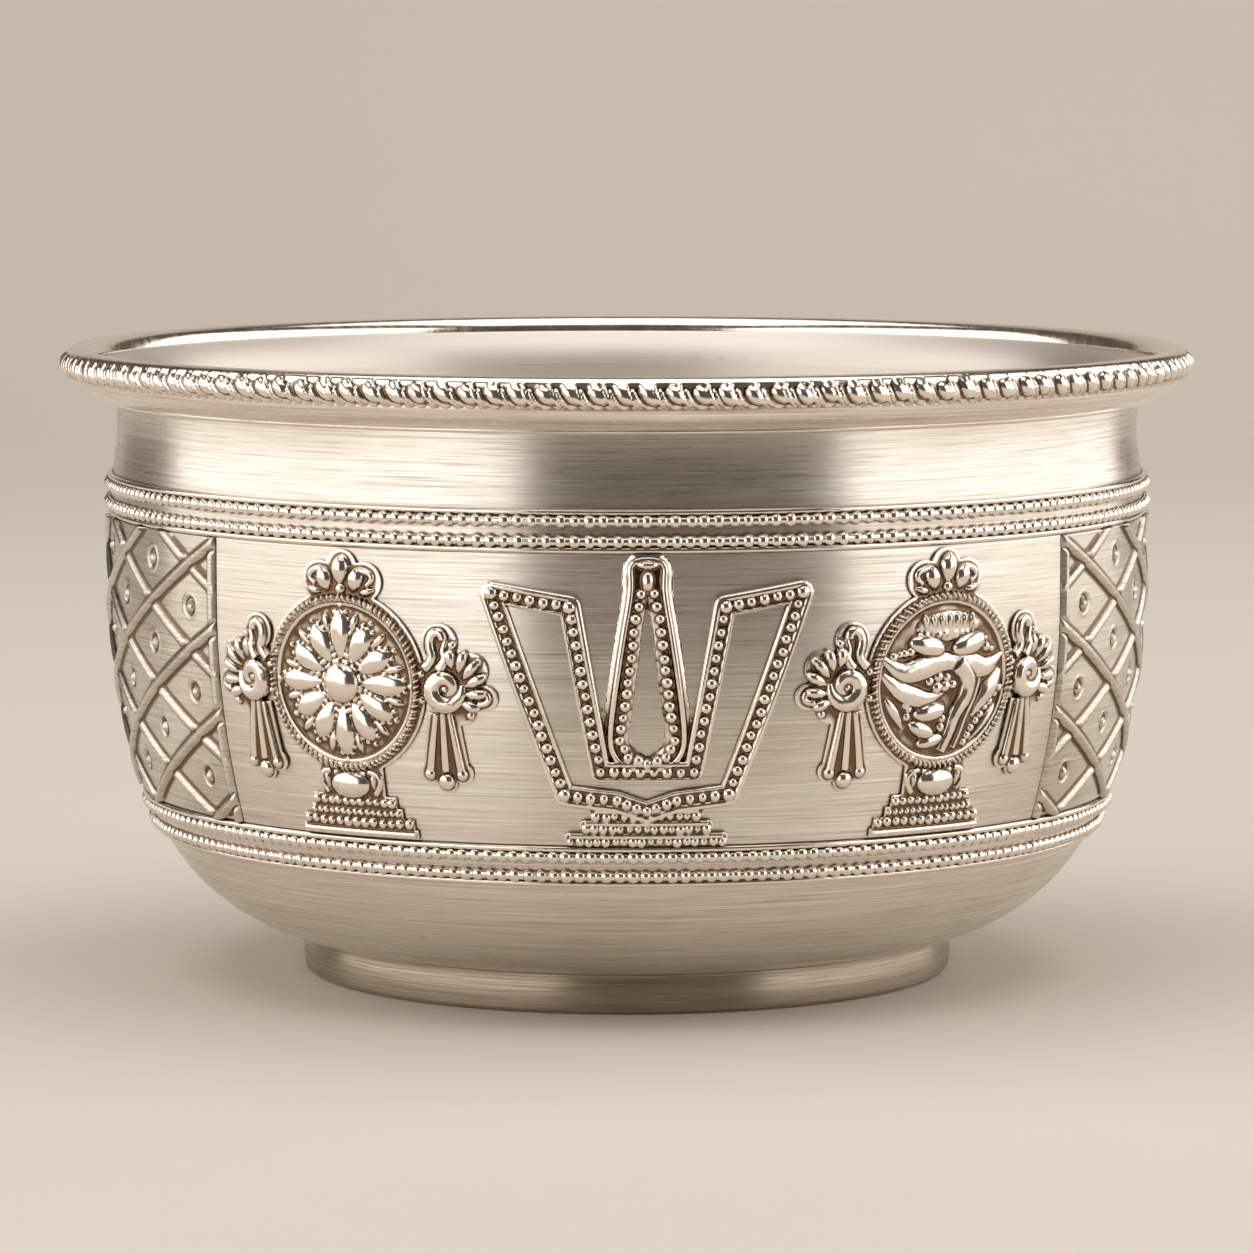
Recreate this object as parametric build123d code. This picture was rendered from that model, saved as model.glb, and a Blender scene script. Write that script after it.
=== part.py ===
from build123d import *
import os
from math import asin, atan2, ceil, cos, degrees, radians, sin, sqrt

# An offering bowl of soldered silver. Millimetres, +Z up.
# The origin lies on the table, under the middle of the foot ring. The front faces -Y.

# Bowl shell: its outer surface from the bottom up
BODY_RADIUS = 46.45       # widest outside radius
WALL = 0.85               # thickness of the raised sheet
BASE_HEIGHT = 3.2         # underside of the flat bottom above the table
BELLY_RISE = 32.9         # from the flat bottom up to the widest place
BELLY_CURVE = 66.3        # radius of the belly's side
TURN_CURVE = 18.3         # radius of the turn from the side into the bottom
STRAIGHT_RISE = 8.9       # upright wall above the widest place
SHOULDER_CURVE = 8.0      # radius of the bend from the wall into the neck
NECK_INSET = 0.45         # how far the neck draws in from the widest radius
NECK_CURVE = 16.0         # radius of the hollow of the neck
NECK_RISE = 2.4           # from the narrowest place of the neck up to the flare
FLARE_CURVE = 2.9         # radius of the outward flare of the lip
FLARE_ANGLE = 76.0        # how far the flare turns from upright, in degrees

# Foot ring
FOOT_RADIUS = 29.2        # outside radius at its ends
FOOT_BULGE = 0.25         # how far its side swells between them
FOOT_WIDTH = 2.9          # from its inside to its outside
FOOT_EDGE = 0.6           # rounding of its two lower edges

# Rim
RIM_WIRE_RADIUS = 1.45    # section of the worked wire
RIM_BITE = 0.15           # how deep the lip is let into the wire
LIP_DROP = 3.2            # lower edge of the moulding below the wire's middle
LIP_MEET_ANGLE = 80.0     # where the moulding meets the wire, in degrees below level

# Applied sheet and wire
SOLDER = 0.04             # film of solder between two pieces
SEAM = 0.15               # open line between two sheets that butt
PANEL_SHEET = 0.2         # thickness of the panels
BAND_SHEET = 0.14         # thickness of the strips under the beads
BAND_EDGE = 0.34          # height of the raised edge along each strip
BAND_EDGE_RISE = 0.16     # how far that edge stands proud
BAND_LAP = 0.3            # how far the upper strip laps onto the shoulder
LOWER_BAND_HEIGHT = 13.2  # lower edge of the lower strip above the table
BEAD_RADIUS = 0.52        # beads of the four wires
BEAD_ROW_GAP = 1.7        # between the two rows of one band

# Lattice panels
LATTICE_COLUMNS = 8       # spaces between columns of crossings
LATTICE_EDGE = 4.0        # first column of crossings from the end of the panel
LATTICE_ROW = 3.72        # rise from one crossing to the next one along a rib
LATTICE_TOP = 2.5         # first crossing below the top of the panel
RIB_WIDTH = 0.95
RIB_RISE = 0.22           # how far ribs and studs stand above the ground
STUD_RADIUS = 1.0

# Struck ornaments, drawn flat round the middle of the ring
ORNAMENT_CLEARANCE = 0.15  # to the bands above and below
ORNAMENT_GAP = 2.0        # between the wing of a ring and the mark
PANEL_MARGIN = 0.3        # from the outer wing to the end of the panel
FLANGE_SHEET = 0.25       # flat sheet left round each ornament
RELIEF = 0.7              # height of the raised forms
FLANGE = 0.85             # width of the flat sheet beyond a raised form
RING_RADIUS = 7.1         # middle of the raised ring
RING_WIDTH = 0.9
HUB_RADIUS = 1.75
PETALS = 12
PETAL_FROM = 2.1
PETAL_TO = 5.9
PETAL_WIDTH = 1.5
CREST_TOP = 11.3
CREST_MIDDLE_LOBE = 1.6   # radius
CREST_SIDE_LOBE = 1.7     # radius
CREST_SIDE_X = 2.25
CREST_SIDE_Z = 8.6
WING_REACH = 14.3         # tip of a wing from the middle of the ring
WING_TIP_Z = -0.8
WING_TIP_LOBE = 1.1       # radius
WING_LOBES = ((9.2, 3.8, 1.6), (9.7, 0.4, 2.2), (12.0, 1.5, 1.5), (11.0, -1.9, 1.3))  # x, z, radius
TASSEL_X = 9.4
TASSEL_TOP_Z = -2.4
TASSEL_END_Z = -7.6
TASSEL_TOP_WIDTH = 1.8
TASSEL_END_WIDTH = 4.2
TASSEL_BALL = 0.85        # radius
STAND_DEPTH = 13.3        # foot of the stand below the middle of the ring
CUP_TOP_Z = -7.3
CUP_HALF_WIDTH = 3.4
RING_STEPS = ((4.3, -9.7), (4.8, -10.7), (5.8, -11.6), (6.1, -12.5))  # half width, top
MARK_STEPS = ((4.7, -9.9), (5.6, -10.9), (7.1, -11.9))                # half width, top
STEP_LINE = 0.25          # groove between two steps

# Vertical mark: middle line of its beaded strip
MARK_STRIP = 1.7          # width of the strip
MARK_BEAD_LINE = 0.8      # width of the row of beads along it
MARK_OUTER_TOP = (13.1, 8.1)
MARK_OUTER_FOOT = (7.1, -8.9)
MARK_INNER_TOP = (6.5, 7.0)
MARK_INNER_FOOT = (4.0, -6.9)
MARK_DIP = (2.6, -9.4)
MARK_DIP_Z = -10.3
DROP_TOP_Z = 10.2
DROP_WAIST = (1.25, 2.7)
DROP_BELLY = (2.35, -4.3)
DROP_FOOT_Z = -6.6
DROP_STRIP = 1.2
DROP_BEAD_LINE = 0.7

# Conch in its ring
CONCH_BODY = (4.7, 3.5)   # half width and half height
CONCH_BODY_Z = 0.7
CONCH_SPIRE = 2.4         # radius
CONCH_SPIRE_Z = 3.6
CONCH_TAIL = ((-3.4, -1.2), (3.9, -1.2), (1.2, -6.0), (-0.2, -6.0))

# Places that follow from the sizes above
widest_height = BASE_HEIGHT + BELLY_RISE
shoulder_height = widest_height + STRAIGHT_RISE
belly_center = (BODY_RADIUS - BELLY_CURVE, widest_height)
turn_height = BASE_HEIGHT + TURN_CURVE
base_radius = belly_center[0] + sqrt((BELLY_CURVE - TURN_CURVE) ** 2 - (widest_height - turn_height) ** 2)
belly_angle = degrees(atan2(widest_height - turn_height, base_radius - belly_center[0]))
belly_foot = widest_height - BELLY_CURVE * sin(radians(belly_angle))
bends = SHOULDER_CURVE + NECK_CURVE
neck_height = shoulder_height + sqrt(bends ** 2 - (bends - NECK_INSET) ** 2)
neck_center = (BODY_RADIUS - NECK_INSET + NECK_CURVE, neck_height)
shoulder_angle = degrees(asin((neck_height - shoulder_height) / bends))
neck_angle = degrees(asin(NECK_RISE / NECK_CURVE))
flare_center = (
    neck_center[0] - (NECK_CURVE - FLARE_CURVE) * cos(radians(neck_angle)),
    neck_center[1] + (NECK_CURVE - FLARE_CURVE) * sin(radians(neck_angle)),
)
lip_end = radians(180 - FLARE_ANGLE)
lip_reach = FLARE_CURVE + WALL / 2
rim_radius = flare_center[0] + lip_reach * cos(lip_end) + (RIM_WIRE_RADIUS - RIM_BITE) * sin(lip_end)
rim_height = flare_center[1] + lip_reach * sin(lip_end) - (RIM_WIRE_RADIUS - RIM_BITE) * cos(lip_end)

band_width = BEAD_ROW_GAP + 2 * (BEAD_RADIUS + SOLDER + BAND_EDGE)
upper_band_top = shoulder_height + BAND_LAP
upper_band_foot = upper_band_top - band_width
lower_band_top = LOWER_BAND_HEIGHT + band_width
panel_foot = lower_band_top + SEAM
panel_top = upper_band_foot - SEAM
panel_lift = SOLDER + PANEL_SHEET
ornament_lift = panel_lift + SOLDER

# The ornaments fill the height of the panel, and the panel is as long as its three ornaments
fit = (panel_top - panel_foot - 2 * ORNAMENT_CLEARANCE) / (CREST_TOP + STAND_DEPTH)
ring_height = panel_foot + ORNAMENT_CLEARANCE + fit * STAND_DEPTH
mark_slope = (MARK_OUTER_TOP[0] - MARK_OUTER_FOOT[0]) / (MARK_OUTER_TOP[1] - MARK_OUTER_FOOT[1])
mark_reach = MARK_OUTER_FOOT[0] + mark_slope * (WING_TIP_Z - MARK_OUTER_FOOT[1]) + MARK_STRIP / 2
ring_spread = mark_reach + ORNAMENT_GAP + WING_REACH
panel_reach = fit * (ring_spread + WING_REACH) + PANEL_MARGIN
panel_radius = BODY_RADIUS + panel_lift
panel_angle = degrees(2 * panel_reach / panel_radius)
seam_angle = degrees(SEAM / panel_radius)
lattice_angle = 180 - panel_angle - 2 * seam_angle
ring_azimuth = degrees(fit * ring_spread / panel_radius)

FRONT, RIGHT = 0, 90
half_turn = Rot(0, 0, 180)


# Sections: x is the distance from the axis and y the height


def wall_curve(lift):
    """The outer surface of the shell, moved outwards by lift, from the axis to the end of the lip."""
    return [
        Line((0, BASE_HEIGHT - lift), (base_radius, BASE_HEIGHT - lift)),
        CenterArc((base_radius, turn_height), TURN_CURVE + lift, -90, 90 - belly_angle),
        CenterArc(belly_center, BELLY_CURVE + lift, -belly_angle, belly_angle),
        Line((BODY_RADIUS + lift, widest_height), (BODY_RADIUS + lift, shoulder_height)),
        CenterArc((BODY_RADIUS - SHOULDER_CURVE, shoulder_height), SHOULDER_CURVE + lift, 0, shoulder_angle),
        CenterArc(neck_center, NECK_CURVE - lift, 180 + shoulder_angle, -shoulder_angle - neck_angle),
        CenterArc(flare_center, FLARE_CURVE - lift, 180 - neck_angle, neck_angle - FLARE_ANGLE),
    ]


def lip_point(lift):
    """The end of the lip, on the surface moved outwards by lift."""
    reach = FLARE_CURVE - lift
    return (flare_center[0] + reach * cos(lip_end), flare_center[1] + reach * sin(lip_end))


def inside(lift):
    """Everything from the axis out to the wall surface moved outwards by lift."""
    end = lip_point(lift)
    top = rim_height + RIM_WIRE_RADIUS
    closing = Polyline(end, (end[0], top), (0, top), (0, BASE_HEIGHT - lift))
    return make_face(wall_curve(lift) + [closing])


def wall_layer(foot, top, lift_from, lift_to):
    """Section of a sheet that lies on the wall between two heights."""
    middle = (foot + top) / 2
    slab = Pos(BODY_RADIUS, middle) * Rectangle(BODY_RADIUS, top - foot)
    return slab & inside(lift_to) - inside(lift_from)


def turned(section, azimuth, angle):
    """A section turned about the axis, centred on an azimuth."""
    start = Rot(0, 0, azimuth - 90 - angle / 2)
    return revolve(start * (Plane.XZ * section), axis=Axis.Z, revolution_arc=angle)


def ring(section):
    """A section clear of the axis, turned right round it in quarters, so that no face closes on itself."""
    faces = []
    for quarter in range(4):
        placed = Rot(0, 0, 90 * quarter) * (Plane.XZ * section)
        faces += [Face.revolve(edge, 90, Axis.Z) for edge in placed.edges()]
    return Solid(Shell(faces))


def outward_plane(azimuth):
    """A plane through the axis, seen from outside: x to the right, y up, facing out at an azimuth."""
    turn = radians(azimuth)
    return Plane(origin=(0, 0, 0), x_dir=(cos(turn), sin(turn), 0), z_dir=(sin(turn), -cos(turn), 0))


def wall_place(height):
    """The shell's outside at a height below the shoulder: its radius and how far it faces down, in degrees."""
    center, curve = belly_center, BELLY_CURVE
    if height < belly_foot:
        center, curve = (base_radius, turn_height), TURN_CURVE
    lean = asin(max(0, center[1] - height) / curve)
    return center[0] + curve * cos(lean), degrees(lean)


# Shell, foot and rim


def bowl_shell():
    mouth = Line(lip_point(0), lip_point(-WALL))
    axis = Line((0, BASE_HEIGHT), (0, BASE_HEIGHT + WALL))
    section = make_face(wall_curve(0) + [mouth] + wall_curve(-WALL) + [axis])
    return turned(section - rim_seat(), FRONT, 360)


def foot_ring():
    inner = FOOT_RADIUS - FOOT_WIDTH
    swell = (FOOT_RADIUS + FOOT_BULGE, BASE_HEIGHT / 2)
    side = ThreePointArc((FOOT_RADIUS, 0), swell, (FOOT_RADIUS, BASE_HEIGHT))
    rest = Polyline(
        (FOOT_RADIUS, BASE_HEIGHT), (FOOT_RADIUS, turn_height), (inner, turn_height), (inner, 0), (FOOT_RADIUS, 0)
    )
    section = make_face([side, rest])
    section = fillet(section.vertices().group_by(Axis.Y)[0], FOOT_EDGE)
    return ring(section - inside(SOLDER))


def rim_circle(radius):
    return Pos(rim_radius, rim_height) * Circle(radius)


def rim_seat():
    return rim_circle(RIM_WIRE_RADIUS + SOLDER)


def lip_moulding():
    meet = radians(-LIP_MEET_ANGLE)
    lower = (neck_center[0] - NECK_CURVE - WALL, rim_height - LIP_DROP)
    outer = (rim_radius + RIM_WIRE_RADIUS * cos(meet), rim_height + RIM_WIRE_RADIUS * sin(meet))
    end = lip_point(0)
    face = TangentArc(lower, outer, tangent=(1, 0))
    back = Polyline(outer, (rim_radius, rim_height), end, (lower[0], end[1]), lower)
    return ring(make_face([face, back]) - inside(SOLDER) - rim_seat())


def rim_wire():
    return ring(rim_circle(RIM_WIRE_RADIUS))


# Bands of beads


def band_strip(foot):
    top = foot + band_width
    face = SOLDER + BAND_SHEET
    edge = face + BAND_EDGE_RISE
    section = wall_layer(foot, top, SOLDER, face)
    section += wall_layer(foot, foot + BAND_EDGE, SOLDER, edge)
    section += wall_layer(top - BAND_EDGE, top, SOLDER, edge)
    return ring(section)


def bead_wire(height):
    """A half-round wire with its flat side on the strip."""
    radius, lean = wall_place(height)
    lift = 2 * SOLDER + BAND_SHEET
    half_round = Circle(BEAD_RADIUS) & Pos(BEAD_RADIUS, 0) * Rectangle(2 * BEAD_RADIUS, 2 * BEAD_RADIUS)
    return ring(Pos(radius + lift / cos(radians(lean)), height) * Rot(0, 0, -lean) * half_round)


# Panels


def plain_panel(azimuth):
    return turned(wall_layer(panel_foot, panel_top, SOLDER, panel_lift), azimuth, panel_angle)


def diamond(width, height):
    """A rhombus between four ribs, given the spacing of their crossings."""
    reach = width * height / sqrt(width ** 2 + height ** 2)
    share = 1 - RIB_WIDTH / 2 / reach
    return make_face(Polyline((width, 0), (0, height), (-width, 0), (0, -height), close=True).scale(share))


def lattice_panel(azimuth):
    face = panel_lift + RIB_RISE
    sheet = turned(wall_layer(panel_foot, panel_top, SOLDER, face), azimuth, lattice_angle)
    ground = turned(wall_layer(panel_foot, panel_top, panel_lift, face + RIB_RISE), azimuth, lattice_angle)
    half_length = panel_radius * radians(lattice_angle) / 2
    column_step = 2 * (half_length - LATTICE_EDGE) / LATTICE_COLUMNS
    rows = ceil((panel_top - LATTICE_TOP - panel_foot) / LATTICE_ROW)
    middle = (panel_foot + panel_top) / 2
    pockets = []
    for column in range(-1, LATTICE_COLUMNS + 2):
        along = LATTICE_EDGE + column * column_step - half_length
        place = outward_plane(azimuth + degrees(along / panel_radius))
        ends = [panel_radius * sin((side * (half_length - RIB_WIDTH) - along) / panel_radius) for side in (-1, 1)]
        field = Pos(sum(ends) / 2, middle) * Rectangle(ends[1] - ends[0], panel_top - panel_foot - RIB_WIDTH)
        for row in range(-1, rows + 1):
            height = panel_top - LATTICE_TOP - row * LATTICE_ROW
            if (row + column) % 2 == 0:
                continue
            cell = Pos(0, height) * diamond(column_step, LATTICE_ROW) & field
            if abs(along) < half_length - STUD_RADIUS:
                cell -= Pos(0, height) * Circle(STUD_RADIUS)
            if cell.area > RIB_WIDTH ** 2:
                pockets.append(struck(cell, place, ground))
    return sheet - pockets


# Struck ornaments


def struck(drawing, place, layer):
    """The part of a layer on the wall that lies under a flat drawing held in front of it."""
    return layer & extrude(place.offset(BODY_RADIUS / 2) * drawing, amount=BODY_RADIUS)


def both_sides(shape):
    return shape + mirror(shape, about=Plane.YZ)


def lobe(x, z, radius):
    return Pos(x, z) * Circle(radius)


def steps(step_list, line):
    """The steps of a stand, each set in by the groove between two of them."""
    feet = [top for _, top in step_list[1:]] + [-STAND_DEPTH]
    drawing = Sketch()
    for (half_width, top), foot in zip(step_list, feet):
        drawing += Pos(0, (top + foot) / 2) * Rectangle(2 * half_width, top - foot - line)
    return drawing


def wing(shrink):
    lobes = WING_LOBES + ((WING_REACH - WING_TIP_LOBE, WING_TIP_Z, WING_TIP_LOBE),)
    drawing = Sketch()
    for x, z, radius in lobes:
        drawing += lobe(x, z, radius - shrink)
    return both_sides(drawing)


def crest(shrink):
    middle = lobe(0, CREST_TOP - CREST_MIDDLE_LOBE, CREST_MIDDLE_LOBE - shrink)
    return middle + both_sides(lobe(CREST_SIDE_X, CREST_SIDE_Z, CREST_SIDE_LOBE - shrink))


def tassel(shrink):
    top = TASSEL_TOP_WIDTH / 2 - shrink
    end = TASSEL_END_WIDTH / 2 - shrink
    strands = make_face(
        Polyline((-top, TASSEL_TOP_Z), (top, TASSEL_TOP_Z), (end, TASSEL_END_Z), (-end, TASSEL_END_Z), close=True)
    )
    drawing = strands + lobe(0, TASSEL_END_Z - TASSEL_BALL / 2, TASSEL_BALL - shrink)
    for side in (-1, 1):
        drawing += lobe(side * (TASSEL_END_WIDTH / 2 - TASSEL_BALL / 2), TASSEL_END_Z, TASSEL_BALL - shrink)
    return both_sides(Pos(TASSEL_X, 0) * drawing)


def cup():
    top = RING_STEPS[0][1]
    return Pos(0, (CUP_TOP_Z + top) / 2) * Rectangle(2 * CUP_HALF_WIDTH, CUP_TOP_Z - top)


def petal():
    """A pointed leaf between two arcs, standing on the hub."""
    middle = (PETAL_FROM + PETAL_TO) / 2
    sides = [
        ThreePointArc((0, PETAL_FROM), (side * PETAL_WIDTH / 2, middle), (0, PETAL_TO)) for side in (-1, 1)
    ]
    return make_face(sides)


def ring_frame():
    """Ring, crest, wings, tassels and stand: the flat sheet and the raised forms."""
    edge = RING_WIDTH / 2
    sheet = Circle(RING_RADIUS + FLANGE) + crest(0) + wing(0) + tassel(0) + cup() + steps(RING_STEPS, 0)
    raised = Circle(RING_RADIUS + edge) - Circle(RING_RADIUS - edge)
    raised += crest(FLANGE / 2) + wing(FLANGE / 2) + tassel(STEP_LINE) + steps(RING_STEPS, STEP_LINE)
    return sheet, raised


def wheel_drawing():
    sheet, raised = ring_frame()
    raised += Circle(HUB_RADIUS)
    for number in range(PETALS):
        raised += Rot(0, 0, number * 360 / PETALS) * petal()
    return sheet, raised


def conch_drawing():
    sheet, raised = ring_frame()
    raised += Pos(0, CONCH_BODY_Z) * Ellipse(*CONCH_BODY)
    raised += lobe(0, CONCH_SPIRE_Z, CONCH_SPIRE)
    raised += make_face(Polyline(*CONCH_TAIL, close=True))
    return sheet, raised


def strip_along(outline, width):
    """A strip along the outline of a face."""
    return offset(outline, width / 2, kind=Kind.INTERSECTION) - offset(outline, -width / 2, kind=Kind.INTERSECTION)


def mark_drawing():
    half = [(0, MARK_DIP_Z), MARK_DIP, MARK_OUTER_FOOT, MARK_OUTER_TOP, MARK_INNER_TOP, MARK_INNER_FOOT]
    other_half = [(-x, z) for x, z in reversed(half[1:])]
    mark = make_face(Polyline(*half, *other_half, close=True))
    sides = [
        ThreePointArc((0, DROP_TOP_Z), (side * DROP_WAIST[0], DROP_WAIST[1]), (side * DROP_BELLY[0], DROP_BELLY[1]))
        for side in (-1, 1)
    ]
    foot = ThreePointArc((-DROP_BELLY[0], DROP_BELLY[1]), (0, DROP_FOOT_Z), DROP_BELLY)
    drop = make_face(sides + [foot])
    sheet = strip_along(mark, MARK_STRIP) + strip_along(drop, DROP_STRIP) + steps(MARK_STEPS, 0)
    raised = strip_along(mark, MARK_BEAD_LINE) + strip_along(drop, DROP_BEAD_LINE)
    raised += steps(MARK_STEPS, STEP_LINE)
    return sheet, raised


def ornament(drawing, azimuth):
    """Flat sheet with raised forms, struck to the curve of the front panel."""
    sheet, raised = (Pos(0, ring_height) * part.scale(fit) for part in drawing)
    foot = panel_foot + ORNAMENT_CLEARANCE
    top = panel_top - ORNAMENT_CLEARANCE
    face = ornament_lift + FLANGE_SHEET
    flat = turned(wall_layer(foot, top, ornament_lift, face), FRONT, panel_angle)
    high = turned(wall_layer(foot, top, face - FLANGE_SHEET / 2, ornament_lift + RELIEF), FRONT, panel_angle)
    place = outward_plane(azimuth)
    return struck(sheet, place, flat) + struck(raised, place, high)


upper_beads = (upper_band_foot + upper_band_top) / 2
lower_beads = (LOWER_BAND_HEIGHT + lower_band_top) / 2
nodes = {
    "bowl_shell": bowl_shell(),
    "foot_ring": foot_ring(),
    "lip_moulding": lip_moulding(),
    "rim_wire": rim_wire(),
    "upper_band_strip": band_strip(upper_band_foot),
    "upper_bead_wire_top": bead_wire(upper_beads + BEAD_ROW_GAP / 2),
    "upper_bead_wire_bottom": bead_wire(upper_beads - BEAD_ROW_GAP / 2),
    "lower_band_strip": band_strip(LOWER_BAND_HEIGHT),
    "lower_bead_wire_top": bead_wire(lower_beads + BEAD_ROW_GAP / 2),
    "lower_bead_wire_bottom": bead_wire(lower_beads - BEAD_ROW_GAP / 2),
    "right_lattice_panel": lattice_panel(RIGHT),
    "front_panel": plain_panel(FRONT),
    "front_wheel_ornament": ornament(wheel_drawing(), -ring_azimuth),
    "front_mark_ornament": ornament(mark_drawing(), FRONT),
    "front_conch_ornament": ornament(conch_drawing(), ring_azimuth),
}

# The far half of the bowl repeats the near half
nodes["left_lattice_panel"] = half_turn * nodes["right_lattice_panel"]
for piece in ("panel", "wheel_ornament", "mark_ornament", "conch_ornament"):
    nodes["back_" + piece] = half_turn * nodes["front_" + piece]

os.makedirs("parts", exist_ok=True)
for name, shape in nodes.items():
    export_step(shape, "parts/" + name + ".step")
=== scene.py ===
from math import asin, atan2, copysign, cos, hypot, pi, radians, sin, tau
from random import Random

import bpy
import numpy as np
from mathutils import Matrix, Vector


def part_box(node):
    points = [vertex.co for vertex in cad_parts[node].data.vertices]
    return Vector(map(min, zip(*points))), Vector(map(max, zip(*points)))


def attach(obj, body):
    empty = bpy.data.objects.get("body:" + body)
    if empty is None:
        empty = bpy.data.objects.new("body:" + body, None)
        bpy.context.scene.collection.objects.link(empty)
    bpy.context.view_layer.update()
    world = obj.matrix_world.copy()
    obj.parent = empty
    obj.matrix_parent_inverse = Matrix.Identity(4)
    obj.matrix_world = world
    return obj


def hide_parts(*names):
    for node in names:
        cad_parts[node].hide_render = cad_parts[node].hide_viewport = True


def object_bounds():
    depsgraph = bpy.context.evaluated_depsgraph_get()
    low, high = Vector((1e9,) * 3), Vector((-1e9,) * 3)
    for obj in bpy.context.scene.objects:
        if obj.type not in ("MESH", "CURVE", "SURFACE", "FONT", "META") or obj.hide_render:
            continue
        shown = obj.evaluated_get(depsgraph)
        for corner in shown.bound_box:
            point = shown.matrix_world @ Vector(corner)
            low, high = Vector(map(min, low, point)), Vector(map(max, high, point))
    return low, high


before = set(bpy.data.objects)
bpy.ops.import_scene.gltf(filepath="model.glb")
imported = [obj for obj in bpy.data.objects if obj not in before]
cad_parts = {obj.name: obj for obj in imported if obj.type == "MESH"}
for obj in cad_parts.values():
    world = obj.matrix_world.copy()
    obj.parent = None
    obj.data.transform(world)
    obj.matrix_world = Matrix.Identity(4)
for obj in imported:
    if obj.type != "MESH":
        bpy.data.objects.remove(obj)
cad_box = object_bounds()

# An offering bowl of soldered silver, dressed around its solids.
# The scene is in metres, with the front facing -Y, and the sizes of the pieces are in millimetres.
# Relief is modelled flat on a bench, with x to the right along the wall, y up and z out from the wall.
# It is then bent round the bowl.
MM = 0.001
chance = Random(7)        # unevenness of handwork, the same on every run


def node_box(node):
    """Lowest and highest corner of a solid, in millimetres."""
    low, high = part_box(node)
    return low / MM, high / MM


# Wall that the panels lie on
WIDEST_HEIGHT = 36.1      # above it the wall is upright
BELLY_CURVE = 66.54       # radius of the panel's upright section below that
SOLDER = 0.04             # film of solder under an applied piece
panel_low, _ = node_box("front_panel")
face_radius = -panel_low.y
face_center = face_radius - BELLY_CURVE

# Struck ornaments, measured from the middle of the ring
CREST_TOP = 11.3
STAND_DEPTH = 13.3
SHEET = 0.25              # flat sheet left round the raised forms
RELIEF_GRAIN = 0.09       # fineness of the struck surface
FLAT_SAVING = 0.02        # how readily its flat places get larger faces
RING_RADIUS = 7.1         # roped ring
RING_EDGE = 7.95          # outside of the sheet round it
RING_LIP = 6.72           # smooth lip inside it
ROPE_TURNS = 84
HUB_RADIUS = 1.75
PETALS = 12
PETAL_FROM = 1.8
PETAL_TO = 5.6
PETAL_POINT = 0.7         # how much longer the upright and level petals are
PETAL_HALF_WIDTH = 1.25
PETAL_EDGE = 0.3          # how far the milled edge lies outside the petal's tip
PETAL_EDGE_HALF_WIDTH = 1.22
PETAL_EDGE_STEPS = 8      # beads along each side of a petal
# Half width, top and foot of each step of the stand, and half width and top of each step under the mark
STAND_STEPS = [(4.3, -9.7, -10.7), (4.8, -10.7, -11.6), (5.8, -11.6, -12.5), (6.1, -12.5, -13.3)]
MARK_STEPS = [(4.5, -10.0), (5.4, -11.1), (6.8, -12.2)]
MARK_STEP_DEPTH = 1.1
ornament_low, ornament_high = node_box("front_mark_ornament")
ring_height = ornament_low.z + STAND_DEPTH * (ornament_high.z - ornament_low.z) / (CREST_TOP + STAND_DEPTH)
conch_low, conch_high = node_box("front_conch_ornament")
ring_azimuth = (asin(conch_low.x / face_radius) + asin(conch_high.x / face_radius)) / 2

# Rim wire. Heights on it are measured round the wire, up from its outermost line.
# A form on it is given by its rise, half width along the wire, half height and the height of its middle.
RIM_LOBES = 146
LOBE_STEPS = 17           # divisions of one lobe along the wire
SECTION_STEPS = 38        # divisions round the wire
LOBE_LEAN = 0.36          # how far a lobe leans along the wire for each millimetre round it
RIB_BOW = 0.3             # how far the ribs between two lobes bow to the left
RIB_BOW_HEIGHT = 1.7      # where the bow ends, above and below
GROUND_CUT = 0.32         # depth of the ground between the lobes
WORKED_FROM = -2.3        # lower end of the worked part
WORKED_TO = 0.95          # upper end
WORKED_EDGE = 9           # how sharply it ends
EGG = (0.44, 0.66, 1.1, -0.05)
EGG_WOBBLE = (0.12, 0.15, 0.15, 0.1)  # unevenness along the wire, round it, in half height and in rise
RIM_RIB = (0.36, 0.24, 1.75, -0.3)
RIM_RIB_PLACE = -0.2      # from the line midway between two lobes
THIN_RIB = (0.3, 0.2, 1.3, -0.6)
THIN_RIB_PLACE = 0.25
TIP = (0.28, 0.46, 0.45, -1.75)
RIB_WOBBLE = 0.1          # unevenness of the ribs along the wire
RIB_BOW_WOBBLE = 0.6      # and of their bow, as a share of it
rim_low, rim_high = node_box("rim_wire")
wire_radius = (rim_high.z - rim_low.z) / 2
rim_radius = rim_high.x - wire_radius
rim_height = (rim_low.z + rim_high.z) / 2
lobe_pitch = tau * rim_radius / RIM_LOBES

# Moulding under the rim wire: a quarter of an oval, from under the wire in to the neck
MOULDING_SHEET = 0.4
MOULDING_STEPS = 512      # divisions round the axis
MOULDING_SECTION_STEPS = 32
MOULDING_START = radians(-20)  # its section round the oval, from inside the wire
MOULDING_END = radians(100)    # to inside the neck
MOULDING_PAST_WIRE = 0.3  # how far it reaches out past the middle line of the wire
MOULDING_INTO_WIRE = 0.35
MOULDING_INTO_NECK = 0.05
FOOT_WIRE = 0.27          # radius of the fine wire at its foot
moulding_low, _ = node_box("lip_moulding")
_, neck_high = node_box("upper_band_strip")
moulding_foot = neck_high.x - MOULDING_INTO_NECK
moulding_reach = rim_radius + MOULDING_PAST_WIRE - moulding_foot
moulding_top = rim_low.z + MOULDING_INTO_WIRE
moulding_drop = moulding_top - moulding_low.z

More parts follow.
